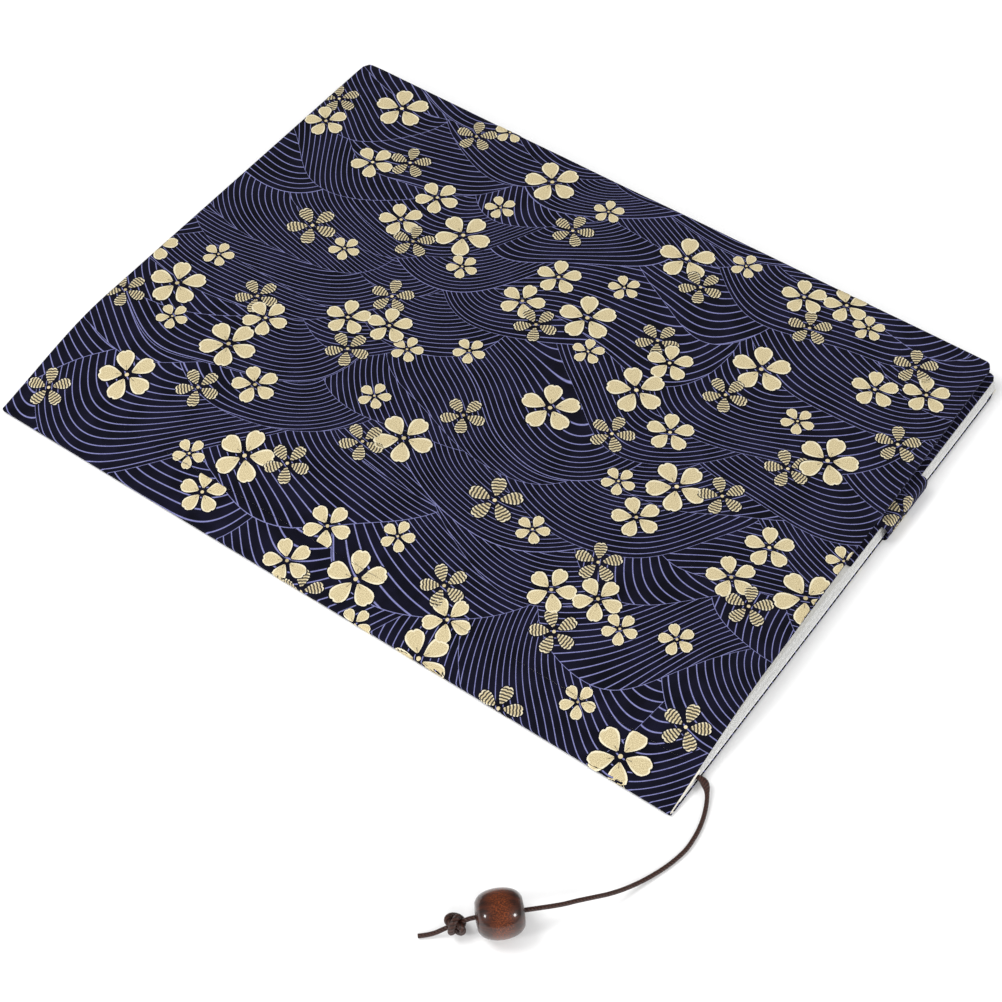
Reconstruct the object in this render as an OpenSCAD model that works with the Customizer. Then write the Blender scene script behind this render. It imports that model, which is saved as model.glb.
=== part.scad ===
// Thin stapled logbook in a cloth slip-on cover, with a bookmark cord and a wooden bead.
// It lies closed on its back. X runs from the spine fold to the fore-edge, Y from tail to head, Z up.
// The origin is at the middle of the underside of the book, without the free cord and its bead.

/* [Cover] */
// Width of the closed cover, from the spine fold to the fore-edge
cover_w = 165; // [150:1:180]
// Height of the cover, from tail to head
cover_h = 216; // [212:1:240]
// Thickness of the printed outer cloth
cloth_t = 0.35; // [0.3:0.05:0.5]
// Thickness of the plain lining
lining_t = 0.25; // [0.2:0.05:0.3]
// Distance from the spine fold to the crease where the front cover becomes flat
crease_in = 27; // [24:1:32]
// How far the front half lies nearer the head than the back half
front_slip = 1.5; // [0:0.1:3]
// Radius of the rounded corners at the fore-edge
corner_r = 2.5; // [1:0.5:5]

/* [Flap, belt and sleeve] */
// How far the back flap reaches in from the fore-edge
flap_reach = 80; // [75:1:90]
// How far the front sleeve reaches in from the fore-edge
sleeve_reach = 62; // [50:1:80]
// Width of the belt that crosses the flap
belt_w = 21; // [15:1:30]
// Distance from the spine fold to the middle of the belt
belt_in = 111; // [105:1:115]
// Thickness of the folded belt
belt_t = 0.35; // [0.3:0.05:0.5]
// How far the belt bulges past the tail and head edges
belt_bulge = 1.2; // [0.8:0.1:2]

/* [Booklet] */
// Height of the pages
page_h = 210; // [205:1:210]
// Thickness of the card cover
card_t = 0.45; // [0.3:0.05:0.6]
// Thickness of the leaves that stay under the flap
back_leaves_t = 3.1; // [2.8:0.1:4]
// Thickness of the leaves that turn with the cover
front_leaves_t = 0.6; // [0.4:0.1:0.8]
// Diameter of the staple wire
staple_d = 0.5; // [0.4:0.1:0.6]

/* [Bookmark] */
// Diameter of the waxed cord
cord_d = 1.2; // [1:0.1:1.4]
// Diameter of the bead
bead_d = 11.7; // [10:0.1:13]
// Length of the bead along its hole
bead_l = 11; // [9:0.5:13]
// Diameter of the hole through the bead
bead_bore_d = 2.2; // [2:0.1:3]

/* [Hidden] */
gap = 0.05;               // room between layers of one body
clear = 0.3;              // room between bodies that move apart
crease_gap = 0.2;         // cloth left out on each side of the crease
stitch_d = 0.12;          // how far a stitch stands off the cloth

// Plan: the fore-edge and the spine in X, then the tail and head edges of each half in Y
fore_x = cover_w / 2;
spine_x = -cover_w / 2;
centre_y = belt_bulge / 2;
back_tail = centre_y - front_slip / 2 - cover_h / 2;
back_head = back_tail + cover_h;
front_tail = back_tail + front_slip;
front_head = front_tail + cover_h;
page_inset = 0.3;
page_tail = back_tail + page_inset;
page_head = page_tail + page_h;
card_fore = fore_x - cloth_t - lining_t - 0.1;

// Heights of the layers, from the table up
back_lining_z = cloth_t;
back_card_z = back_lining_z + lining_t + gap;
leaves_z = back_card_z + card_t + gap;
leaves_top = leaves_z + back_leaves_t;
flap_lining_z = leaves_top + gap;
flap_cloth_z = flap_lining_z + lining_t;
flap_top = flap_cloth_z + cloth_t;
belt_z = flap_top + gap;
belt_top = belt_z + belt_t;
front_leaves_z = belt_top + clear;
front_leaves_top = front_leaves_z + front_leaves_t;
sleeve_z = front_leaves_top + clear;
sleeve_lining_z = sleeve_z + cloth_t;
front_card_z = sleeve_lining_z + lining_t + gap;
front_lining_z = front_card_z + card_t + gap;
front_cloth_z = front_lining_z + lining_t;
front_top = front_cloth_z + cloth_t;

// Spine fold: the front half turns about a line at the inside of the fold
fold_r = cloth_t + lining_t + 2 * gap;
fold_x = spine_x + fold_r;
fold_z = fold_r;
crease_x = spine_x + crease_in;
crease_z = front_lining_z - gap;
slope = atan2(crease_z - fold_z, crease_x - fold_x);
slope_l = norm([crease_x - fold_x, crease_z - fold_z]);
slope_start = fold_r + clear;
slope_end = slope_l - crease_gap;

// Booklet near its fold
card_fold_x = spine_x + 4.4;
card_fold_z = back_card_z + card_t;
card_slope_start = 4.8;
leaf_fold_x = spine_x + 5.6;
leaf_fold_t = 0.2;
turn_start_x = spine_x + 11;
turn_start_z = 2.35;
turn_start_t = 0.25;
staple_l = 12;
staple_y = 65;

// Bookmark inside the booklet
cord_x = spine_x + 12;
inner_cord_d = 1;
groove_w = 1.1;
cord_out_z = leaves_z + 0.2 + inner_cord_d / 2;
tack_y = page_head + 3.4;

// Route of the free cord, from just outside the tail edge to its tip. It swings about the exit,
// so it starts one millimetre out, clear of the leaves and the cord inside.
ROUTE = [
    [-70.5, -108.85, 1.85], [-70.9, -110.1, 1.75], [-72, -111.4, 1.4], [-74.1, -112.8, 1],
    [-77, -114.1, 0.7], [-80.3, -115.1, 0.6], [-84, -115.7, 0.6], [-88, -115.8, 0.6],
    [-92.5, -115, 0.6], [-97, -113.6, 0.7], [-101.5, -111.9, 1.2], [-105.6, -110.2, 2.3],
    [-109.2, -108.5, 3.7], [-112.4, -106.6, 5], [-115.6, -104.3, 5.75], [-119, -101.5, 5.85],
    [-124.6, -95.9, 5.85], [-128.5, -92, 5.85], [-132.4, -88.1, 5.85], [-133.7, -86.7, 5.3],
    [-134.8, -85.4, 4.2], [-135.9, -84.2, 3.2], [-137.2, -83, 2.3], [-138.8, -81.6, 1.3],
    [-140.2, -80.2, 0.8], [-141.6, -78.6, 0.6]
];
CORD_SIDES = 8;
RINGS_PER_STEP = 2;
BEAD_AT = [-128.5, -92, 5.85];
BEAD_TURN = 135;
KNOT_AT = [-135.5, -84.6, 3.6];
KNOT_TILT = 38;
KNOT_STEP = 1.25;

// A bar along Y whose cross-section is an outline of [x, z] points
module along_y(outline, y0, y1) {
    translate([0, y1, 0]) rotate([90, 0, 0]) linear_extrude(height = y1 - y0) polygon(outline);
}

// A flat layer from x0 to x1 whose corners at x1 are rounded
module layer(x0, x1, y0, y1, z0, t, r) {
    translate([0, 0, z0]) linear_extrude(height = t) {
        translate([x0, y0]) square([x1 - x0 - r, y1 - y0]);
        translate([x0, y0 + r]) square([x1 - x0, y1 - y0 - 2 * r]);
        for (y = [y0 + r, y1 - r]) {
            translate([x1 - r, y]) circle(r = r, $fn = 48);
        }
    }
}

// A strip that stands along the fore-edge, between the rounded corners
module fore_wall(x1, t, y0, y1, z0, z1) {
    translate([x1 - t, y0 + corner_r, z0]) cube([t, y1 - y0 - 2 * corner_r, z1 - z0]);
}

// A row of stitches along Y
module stitch_row(x, y0, y1, z0, pitch, size) {
    count = floor((y1 - y0) / pitch);
    for (i = [0 : count - 1]) {
        translate([x - size[0] / 2, y0 + (i + 0.5) * pitch - size[1] / 2, z0]) cube(size);
    }
}

// A point r along the sloping part of the front half and h above its hinge line
function on_slope(r, h) = [
    fold_x + r * cos(slope) - h * sin(slope),
    fold_z + r * sin(slope) + h * cos(slope)
];

// A layer on the slope, from r0 to r1 and from h0 to h1
module slope_layer(r0, r1, h0, h1, y0, y1) {
    along_y([on_slope(r0, h0), on_slope(r1, h0), on_slope(r1, h1), on_slope(r0, h1)], y0, y1);
}

// Height of the top leaf of the back leaves at x, on their slope towards the fold
function leaf_slope_z(x) = leaves_z + leaf_fold_t
    + (x - leaf_fold_x) * (back_leaves_t - leaf_fold_t) / (crease_x - leaf_fold_x);

module back_cloth() {
    color("midnightblue") {
        layer(fold_x, fore_x, back_tail, back_head, 0, cloth_t, corner_r);
        difference() {
            translate([fold_x, back_head, fold_z]) rotate([90, 0, 0])
                cylinder(r = fold_r, h = cover_h, $fn = 48);
            translate([fold_x, back_tail - 1, cloth_t]) cube([fold_r, cover_h + 2, 2 * fold_r]);
        }
    }
}

module back_lining() {
    color("ivory") layer(fold_x, fore_x - cloth_t, back_tail, back_head, back_lining_z,
        lining_t, corner_r);
}

module flap_cloth() {
    color("midnightblue") {
        layer(fore_x - flap_reach, fore_x, back_tail, back_head, flap_cloth_z, cloth_t, corner_r);
        fore_wall(fore_x, cloth_t, back_tail, back_head, cloth_t, flap_cloth_z);
    }
}

module flap_lining() {
    color("ivory") {
        layer(fore_x - flap_reach, fore_x - cloth_t, back_tail, back_head, flap_lining_z,
            lining_t, corner_r);
        fore_wall(fore_x - cloth_t, lining_t, back_tail, back_head,
            back_lining_z + lining_t, flap_lining_z);
    }
}

module flap_stitches() {
    color("navy") stitch_row(fore_x - flap_reach + 2.5, back_tail + 1, back_head - 1, flap_top, 6,
        [0.4, 4.4, stitch_d]);
}

// Outline of the belt in [y, z] at one end, where d is 1 at the head and -1 at the tail
function belt_end(edge, d) = [
    [edge, 0.15], [edge + d * 0.8, 0.5], [edge + d * belt_bulge, 1.6],
    [edge + d * belt_bulge, belt_z - 0.75], [edge + d * 0.8, belt_z + 0.1], [edge - d * 0.4, belt_top],
    [edge, belt_z], [edge + d * 0.6, belt_z - 0.3], [edge + d * (belt_bulge - belt_t), belt_z - 0.9],
    [edge + d * (belt_bulge - belt_t), 1.7], [edge + d * 0.55, 0.85], [edge, 0.55]
];

module belt() {
    color("midnightblue") translate([spine_x + belt_in - belt_w / 2, 0, 0]) {
        translate([0, back_tail, belt_z]) cube([belt_w, cover_h, belt_t]);
        for (end = [belt_end(back_tail, -1), belt_end(back_head, 1)]) {
            rotate([90, 0, 90]) linear_extrude(height = belt_w) polygon(end);
        }
    }
}

module belt_stitches() {
    for (side = [-1, 1]) {
        color("navy") stitch_row(spine_x + belt_in + side * (belt_w / 2 - 1.8), back_tail + 3,
            back_head - 3, belt_top, 6, [0.4, 4.4, stitch_d]);
    }
}

module back_card() {
    color("white") {
        difference() {
            union() {
                translate([card_fold_x, back_tail + page_inset, back_card_z])
                    cube([card_fore - card_fold_x, page_h, card_t]);
                translate([card_fold_x, page_head, card_fold_z]) rotate([90, 0, 0])
                    cylinder(r = card_t, h = page_h, $fn = 32);
            }
            staple_legs(0.02);
        }
    }
}

// The two legs of each staple, through the fold of the card, made fatter by extra
module staple_legs(extra) {
    for (y = [-staple_y, staple_y], end = [-1, 1]) {
        translate([card_fold_x - card_t - staple_d / 2, y + end * (staple_l - staple_d) / 2, card_fold_z])
            rotate([0, 90, 0]) cylinder(d = staple_d + extra, h = 2 * card_t + staple_d / 2 + 0.2, $fn = 24);
    }
}

module staples() {
    color("silver") {
        staple_legs(0);
        for (y = [-staple_y, staple_y]) {
            translate([card_fold_x - card_t - staple_d / 2, y + staple_l / 2, card_fold_z])
                rotate([90, 0, 0]) cylinder(d = staple_d, h = staple_l, $fn = 24);
        }
    }
}

module back_leaves() {
    groove_z = cord_out_z - inner_cord_d / 2;
    color("whitesmoke") along_y([
        [leaf_fold_x, leaves_z], [card_fore, leaves_z], [card_fore, leaves_top],
        [crease_x, leaves_top],
        [cord_x + groove_w / 2, leaf_slope_z(cord_x + groove_w / 2)],
        [cord_x + groove_w / 2, groove_z], [cord_x - groove_w / 2, groove_z],
        [cord_x - groove_w / 2, leaf_slope_z(cord_x - groove_w / 2)],
        [leaf_fold_x, leaves_z + leaf_fold_t]
    ], page_tail, page_head);
}

module cord_tack() {
    color("navy") translate([cord_x - 2, tack_y, back_lining_z + lining_t]) cube([4, 1.6, 1.8]);
}

module inner_cord() {
    color("saddlebrown") translate([cord_x, tack_y, cord_out_z]) rotate([90, 0, 0])
        cylinder(d = inner_cord_d, h = tack_y - page_tail, $fn = 24);
}

// A smooth curve through the route: the point a share s of the way from point i to the next
function clamped(i) = ROUTE[max(0, min(len(ROUTE) - 1, i))];
function curve_at(i, s) = 0.5 * (2 * clamped(i) + (clamped(i + 1) - clamped(i - 1)) * s
    + (2 * clamped(i - 1) - 5 * clamped(i) + 4 * clamped(i + 1) - clamped(i + 2)) * s * s
    + (3 * clamped(i) - clamped(i - 1) - 3 * clamped(i + 1) + clamped(i + 2)) * s * s * s);
function unit(v) = v / norm(v);

module bookmark_cord() {
    points = [for (i = [0 : len(ROUTE) - 2], k = [0 : RINGS_PER_STEP - 1])
        curve_at(i, k / RINGS_PER_STEP), clamped(len(ROUTE) - 1)];
    last = len(points) - 1;
    along = [for (i = [0 : last])
        i == 0 ? [0, -1, 0] : unit(points[min(last, i + 1)] - points[i - 1])];
    side = [for (t = along) unit(cross(t, [0, 0, 1]))];
    rings = [for (i = [0 : last], k = [0 : CORD_SIDES - 1])
        points[i] + cord_d / 2 * (side[i] * cos(k * 360 / CORD_SIDES)
            + cross(side[i], along[i]) * sin(k * 360 / CORD_SIDES))];
    walls = [for (i = [0 : last - 1], k = [0 : CORD_SIDES - 1])
        let (n = (k + 1) % CORD_SIDES, a = i * CORD_SIDES, b = a + CORD_SIDES)
        [a + k, a + n, b + n, b + k]];
    first_cap = [for (k = [0 : CORD_SIDES - 1]) CORD_SIDES - 1 - k];
    last_cap = [for (k = [0 : CORD_SIDES - 1]) last * CORD_SIDES + k];
    color("saddlebrown") polyhedron(points = rings, faces = concat([first_cap], walls, [last_cap]));
}

module stopper_knot() {
    color("saddlebrown") translate(KNOT_AT) rotate([0, 0, BEAD_TURN]) rotate([0, 90 + KNOT_TILT, 0]) {
        for (step = [-1, 0, 1]) {
            translate([0, 0, step * KNOT_STEP]) rotate_extrude($fn = 32)
                translate([1.5, 0]) circle(r = 0.85, $fn = 24);
        }
    }
}

// Half of the bead's outline: nearly flat ends, a full belly and softly rounded rims
function bead_radius(s) = bead_d / 2 * (1 - 0.14 * pow(abs(s), 2.5) - 0.16 * pow(abs(s), 10));

module bead() {
    steps = 12;
    outline = [for (i = [-steps : steps]) [bead_radius(i / steps), i / steps * bead_l / 2]];
    bore = [[bead_bore_d / 2, bead_l / 2], [bead_bore_d / 2, -bead_l / 2]];
    color("sienna") translate(BEAD_AT) rotate([0, 0, BEAD_TURN]) rotate([0, 90, 0])
        rotate_extrude($fn = 64) polygon(concat(outline, bore));
}

module spine_cloth() {
    color("midnightblue") slope_layer(slope_start, slope_end, gap + lining_t,
        gap + lining_t + cloth_t, front_tail, front_head);
}

module spine_lining() {
    color("ivory") slope_layer(slope_start, slope_end, gap, gap + lining_t, front_tail, front_head);
}

module spine_card() {
    color("white") slope_layer(card_slope_start, slope_end, -card_t, 0, front_tail + page_inset,
        front_tail + page_inset + page_h);
}

module front_cloth() {
    color("midnightblue") layer(crease_x + crease_gap, fore_x, front_tail, front_head,
        front_cloth_z, cloth_t, corner_r);
}

module front_lining() {
    color("ivory") layer(crease_x + crease_gap, fore_x - cloth_t, front_tail, front_head,
        front_lining_z, lining_t, corner_r);
}

module sleeve_cloth() {
    color("midnightblue") {
        layer(fore_x - sleeve_reach, fore_x, front_tail, front_head, sleeve_z, cloth_t, corner_r);
        fore_wall(fore_x, cloth_t, front_tail, front_head, sleeve_lining_z, front_cloth_z);
    }
}

module sleeve_lining() {
    color("ivory") {
        layer(fore_x - sleeve_reach, fore_x - cloth_t, front_tail, front_head, sleeve_lining_z,
            lining_t, corner_r);
        fore_wall(fore_x - cloth_t, lining_t, front_tail, front_head,
            sleeve_lining_z + lining_t, front_lining_z);
    }
}

module sleeve_stitches() {
    color("navy") stitch_row(fore_x - sleeve_reach + 2.5, front_tail + 1, front_head - 1,
        sleeve_z - stitch_d, 6, [0.4, 4.4, stitch_d]);
}

// Stitches that close the sleeve along the tail and the head, outside the ends of the card
module sleeve_seams() {
    bottom = sleeve_lining_z + lining_t;
    for (y = [front_tail + 0.05, front_head - 0.2], i = [0 : 11]) {
        color("navy") translate([fore_x - sleeve_reach + 1.5 + i * 5, y, bottom])
            cube([2, 0.15, front_lining_z - bottom]);
    }
}

module front_card() {
    color("white") translate([crease_x + crease_gap, front_tail + page_inset, front_card_z])
        cube([card_fore - crease_x - crease_gap, page_h, card_t]);
}

module front_leaves() {
    shift = front_slip / 2;
    color("whitesmoke") along_y([
        [turn_start_x, turn_start_z], [crease_x, front_leaves_z], [card_fore, front_leaves_z],
        [card_fore, front_leaves_top], [crease_x, front_leaves_top],
        [turn_start_x, turn_start_z + turn_start_t]
    ], page_tail + shift, page_head + shift);
}

back_cloth();
back_lining();
flap_cloth();
flap_lining();
flap_stitches();
belt();
belt_stitches();
back_card();
staples();
back_leaves();
cord_tack();
inner_cord();
bookmark_cord();
stopper_knot();
bead();
spine_cloth();
spine_lining();
spine_card();
front_cloth();
front_lining();
sleeve_cloth();
sleeve_lining();
sleeve_stitches();
sleeve_seams();
front_card();
front_leaves();
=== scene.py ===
# %% [markdown]
# # A pilot logbook in a printed cloth cover
# The real object is a thin stapled log that slips into a sewn cloth cover. A waxed bookmark cord
# leaves it at the tail and ends in a lacquered wooden bead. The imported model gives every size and
# every hinge, so each piece below is built straight into its place, in the frame's own metres.
import bpy, math, random
import numpy as np
from mathutils import Euler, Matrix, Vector


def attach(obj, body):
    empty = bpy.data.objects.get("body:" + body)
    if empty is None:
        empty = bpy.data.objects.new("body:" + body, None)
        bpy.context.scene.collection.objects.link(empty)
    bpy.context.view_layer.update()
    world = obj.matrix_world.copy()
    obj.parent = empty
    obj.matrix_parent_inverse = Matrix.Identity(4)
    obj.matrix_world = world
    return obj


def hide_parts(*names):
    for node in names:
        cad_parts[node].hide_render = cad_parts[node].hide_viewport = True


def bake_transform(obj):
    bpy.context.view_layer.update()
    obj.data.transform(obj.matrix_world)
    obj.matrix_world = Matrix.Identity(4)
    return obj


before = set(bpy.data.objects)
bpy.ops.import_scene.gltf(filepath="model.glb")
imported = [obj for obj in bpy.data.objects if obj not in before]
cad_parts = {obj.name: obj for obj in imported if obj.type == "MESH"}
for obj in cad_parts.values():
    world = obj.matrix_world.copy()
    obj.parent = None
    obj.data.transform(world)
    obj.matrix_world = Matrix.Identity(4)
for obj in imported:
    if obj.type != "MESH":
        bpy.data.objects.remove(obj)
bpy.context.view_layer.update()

MM = 0.001
SPINE_X = -82.5          # the spine fold, in mm, in the frame
COVER_W, COVER_H = 165.0, 216.0
BACK_TAIL = -108.15      # tail edge of the back half

# %% [markdown]
# ## The camera
# The book is seen from above its tail, with the spine towards the lower left, through a fairly
# long lens. The camera is set from its own place and turn rather than aimed at a target,
# because a small roll keeps the edges at their angles.

# %% Camera
eye = Vector((-307.09, -224.20, 434.72)) * MM
turn = Euler([math.radians(angle) for angle in (38.441, 0.326, -54.183)])
right, back = turn.to_matrix().col[0], turn.to_matrix().col[2]
camera = bpy.data.objects.new("camera", bpy.data.cameras.new("camera"))
bpy.context.scene.collection.objects.link(camera)
camera.location, camera.rotation_euler = eye, turn
camera.data.lens = 75.906
camera.data.sensor_width = 36
camera.data.clip_start = 0.01
bpy.context.scene.camera = camera
print("camera stands", round(eye.length, 3), "m from the middle of the book")

# %% [markdown]
# ## Meshes from grids
# Cloth, card and paper are all thin sheets, so nearly every piece here is a grid of points that
# runs along a path and across it. One function turns such a grid into a mesh, with its UV map
# in millimetres of cloth. That way a weave or a print keeps its true size on every piece.

# %% Grid mesh
class Sheet:
    """Points, faces, UVs and material numbers that grow until they become one object."""

    def __init__(self):
        self.points, self.faces, self.uvs, self.slots, self.petal = [], [], [], [], []

    def grid(self, points, uvs, slot=0, petal=None, flip=False):
        """Adds rows of points. petal gives each point's place on a petal, across and outwards."""
        rows, cols = len(points), len(points[0])
        start = len(self.points)
        for row in points:
            self.points.extend(tuple(p) for p in row)
        flat = [uv for row in uvs for uv in row]
        marks = [m for row in petal for m in row] if petal else [(0, 0)] * (rows * cols)
        for i in range(rows - 1):
            for j in range(cols - 1):
                corner = i * cols + j
                quad = [corner, corner + 1, corner + cols + 1, corner + cols]
                if flip:
                    quad.reverse()
                self.face([start + q for q in quad], [flat[q] for q in quad], [marks[q] for q in quad], slot)
        return start

    def face(self, points, uvs, marks, slot):
        self.faces.append(points)
        self.uvs.append(uvs)
        self.petal.append(marks)
        self.slots.append(slot)

    def make(self, name, materials, smooth=True):
        mesh = bpy.data.meshes.new(name)
        mesh.from_pydata([tuple(c * MM for c in p) for p in self.points], [], self.faces)
        for title, source in (("cloth", self.uvs), ("petal", self.petal)):
            layer = mesh.uv_layers.new(name=title)
            layer.data.foreach_set("uv", [c for face in source for uv in face for c in uv])
        for material in materials:
            mesh.materials.append(material)
        mesh.polygons.foreach_set("material_index", self.slots)
        mesh.polygons.foreach_set("use_smooth", [smooth] * len(self.faces))
        mesh.validate()
        obj = bpy.data.objects.new(name, mesh)
        bpy.context.scene.collection.objects.link(obj)
        return obj

    def piece(self, name, materials, slot, *nodes, smooth=True):
        """Makes the object and hides the CAD parts that it replaces. The slot is not used."""
        obj = self.make(name, materials, smooth)
        if nodes:
            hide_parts(*nodes)
        return obj


def smooth_step(a, b, x):
    t = min(1.0, max(0.0, (x - a) / (b - a)))
    return t * t * (3 - 2 * t)


print("sheet builder ready")

# %% [markdown]
# ## The bookmark cord
# A limp waxed twist, 1.2 mm thick, leaves the book at the tail edge close to the spine, drops to
# the table, runs in a loose curve and rises again to the middle of the bead. The route repeats the
# frame's own points. A round section is carried along it, and its UV map runs round and
# along the cord so that the twist can be drawn as slanting strands. The cord is thicker for a few
# millimetres where it comes out, as a folded end is.

# %% Cord route
ROUTE = [
    (-70.5, -107.85, 1.85), (-70.5, -108.85, 1.85), (-70.9, -110.1, 1.75), (-72, -111.4, 1.4),
    (-74.1, -112.8, 1), (-77, -114.1, 0.7), (-80.3, -115.1, 0.6), (-84, -115.7, 0.6),
    (-88, -115.8, 0.6), (-92.5, -115, 0.6), (-97, -113.6, 0.7), (-101.5, -111.9, 1.2),
    (-105.6, -110.2, 2.3), (-109.2, -108.5, 3.7), (-112.4, -106.6, 5), (-115.6, -104.3, 5.75),
    (-119, -101.5, 5.85), (-124.6, -95.9, 5.85), (-128.5, -92, 5.85), (-132.4, -88.1, 5.85),
    (-133.7, -86.7, 5.3), (-134.8, -85.4, 4.2), (-135.9, -84.2, 3.2), (-137.2, -83, 2.3),
    (-138.8, -81.6, 1.3), (-140.2, -80.2, 0.8), (-141.6, -78.6, 0.6),
]
CORD_R = 0.6


def smooth_route(points, steps):
    """Points on a curve that passes smoothly through the given ones."""
    p = [np.array(q, float) for q in points]
    p = [2 * p[0] - p[1]] + p + [2 * p[-1] - p[-2]]
    out = []
    for i in range(1, len(p) - 2):
        a, b, c, d = p[i - 1:i + 3]
        for k in range(steps):
            s = k / steps
            out.append(0.5 * (2 * b + (c - a) * s + (2 * a - 5 * b + 4 * c - d) * s * s
                              + (3 * b - a - 3 * c + d) * s ** 3))
    out.append(p[-2])
    return out


def tube(sheet, line, radius, sides=14, closed_ends=True):
    """Adds a tube along a line of points; radius is a number or a function of length."""
    line = [np.array(p, float) for p in line]
    travelled, rings, uvs = 0.0, [], []
    side = None
    for i, p in enumerate(line):
        along = line[min(i + 1, len(line) - 1)] - line[max(i - 1, 0)]
        along /= np.linalg.norm(along)
        if side is None:
            side = np.cross(along, (0, 0, 1.0) if abs(along[2]) < 0.9 else (1.0, 0, 0))
        side = side - along * side.dot(along)
        side /= np.linalg.norm(side)
        other = np.cross(side, along)
        if i:
            travelled += np.linalg.norm(p - line[i - 1])
        r = radius(travelled) if callable(radius) else radius
        rings.append([p + r * (math.cos(a) * side + math.sin(a) * other)
                      for a in (2 * math.pi * k / sides for k in range(sides + 1))])
        uvs.append([(k / sides, travelled) for k in range(sides + 1)])
    start = sheet.grid(rings, uvs)
    if closed_ends:
        first = [start + k for k in range(sides)]
        last = [start + (len(line) - 1) * (sides + 1) + k for k in range(sides)]
        for ring in (first[::-1], last):
            sheet.face(ring, [(0, 0)] * sides, [(0, 0)] * sides, 0)
    return travelled


cord_line = smooth_route(ROUTE, 8)
cord_sheet = Sheet()
cord_length = tube(cord_sheet, cord_line, lambda s: CORD_R * (0.92 + 0.75 * math.exp(-((s - 2.4) / 1.8) ** 2)))
print("cord runs", round(cord_length, 1), "mm on", len(cord_line), "rings")

# %% [markdown]
# ## Shader helpers
# Materials here are node trees. A wire is one output in a tree, and a sum on wires adds the nodes
# that work it out, so the shader code reads as plain arithmetic. An effect that several finishes
# share is built once as a group with named sockets, then placed in each with its own values.

# %% Node helpers
class Wire:
    """One output in a node tree."""

    def __init__(self, node, output=0):
        self.socket, self.tree = node.outputs[output], node.id_data

    def then(self, operation, *others):
        return Wire(add(self.tree, "Math", self, *others, operation=operation))

    def vector(self, operation, *others):
        made = add(self.tree, "VectorMath", self, *others, operation=operation)
        return Wire(made, "Value" if operation == "DISTANCE" else "Vector")

    def __add__(self, other):
        return self.then("ADD", other)

    def __sub__(self, other):
        return self.then("SUBTRACT", other)

    def __mul__(self, other):
        return self.then("MULTIPLY", other)

    def __truediv__(self, other):
        return self.then("DIVIDE", other)

    def __rsub__(self, number):
        return Wire(add(self.tree, "Math", number, self, operation="SUBTRACT"))

    def __rtruediv__(self, number):
        return Wire(add(self.tree, "Math", number, self, operation="DIVIDE"))

    def __abs__(self):
        return self.then("ABSOLUTE")


def feed(socket, value):
    """Sets an input to a value, or links a wire to it."""
    if isinstance(value, Wire):
        value.tree.links.new(value.socket, socket)
    else:
        socket.default_value = value


def add(tree, kind, *values, **settings):
    """Adds a node and feeds its first inputs. A name with a capital letter feeds that input too."""
    made = tree.nodes.new("ShaderNode" + kind)
    for key, value in settings.items():
        if key[0].islower():
            setattr(made, key, value)
    for socket, value in zip(made.inputs, values):
        feed(socket, value)
    for key, value in settings.items():
        if key[0].isupper():
            feed(made.inputs[key.replace("_", " ")], value)
    return made


def split(wire):
    node = add(wire.tree, "SeparateXYZ", wire)
    return [Wire(node, axis) for axis in range(3)]


def join(x, y):
    return Wire(add(x.tree, "CombineXYZ", x, y))


def ramp(wire, low, high, out_low=0.0, out_high=1.0):
    """Goes softly from out_low to out_high while the wire goes from low to high."""
    return Wire(add(wire.tree, "MapRange", interpolation_type="SMOOTHSTEP", Value=wire, From_Min=low,
                    From_Max=high, To_Min=out_low, To_Max=out_high))


def mix(factor, a, b, kind="RGBA"):
    """a where the factor is 0 and b where it is 1, for numbers, vectors or colours."""
    made = add(factor.tree, "Mix", data_type=kind)
    pair = ("FLOAT", "VECTOR", "RGBA").index(kind)
    for index, value in ((0, factor), (2 + 2 * pair, a), (3 + 2 * pair, b)):
        feed(made.inputs[index], value)
    return Wire(made, pair)


def new_group(name, outputs, **inputs):
    """A group, its input wires and its output sockets. Position is a vector, all others are numbers."""
    group = bpy.data.node_groups.new(name, "ShaderNodeTree")
    group.interface.new_socket("Position", in_out="INPUT", socket_type="NodeSocketVector")
    for title, default in inputs.items():
        socket = group.interface.new_socket(title, in_out="INPUT", socket_type="NodeSocketFloat")
        socket.default_value = default
    for title in outputs:
        group.interface.new_socket(title, in_out="OUTPUT", socket_type="NodeSocketFloat")
    entry = group.nodes.new("NodeGroupInput")
    given = {title: Wire(entry, title) for title in ("Position", *inputs)}
    return group, given, group.nodes.new("NodeGroupOutput").inputs


def place(tree, group, **values):
    made = add(tree, "Group", node_tree=group, **values)
    return {output.name: Wire(made, output.name) for output in made.outputs}


def rgb(r, g, b):
    """A colour given as on a paint card, 0 to 255, turned into the linear numbers a shader wants."""
    return tuple((c / 255 / 12.92) if c < 10.3 else ((c / 255 + 0.055) / 1.055) ** 2.4
                 for c in (r, g, b)) + (1.0,)


print("shader helpers ready")

# %% [markdown]
# ## Shared effects: weave, mottling and wave lines
# Cotton shows crossed threads, so the weave is two rows of rounded ridges that take turns in a
# checkerboard. Nothing dyed or printed is perfectly even, so a soft noise varies colour and gloss.
# The print's ground is a sea of fine curved lines: patches of concentric arcs that end on each other's
# borders. The patches are big overlapping fans, like fish scales. At each spot the foremost fan that
# covers it wins, and its arcs are drawn about its own hub or about one beside it. A slow drift of
# the position keeps the whole drawing from looking ruled.

# %% Weave group
weave, given, result = new_group("weave", ["Height"], Pitch=0.4)
across, down, _ = split(given["Position"])
warp, weft = ((axis / given["Pitch"] * math.pi).then("SINE") for axis in (across, down))
on_top = ramp(warp * weft, -0.25, 0.25)
feed(result["Height"], abs(warp) * on_top + abs(weft) * (1.0 - on_top))
print("weave has", len(weave.nodes), "nodes")

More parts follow.
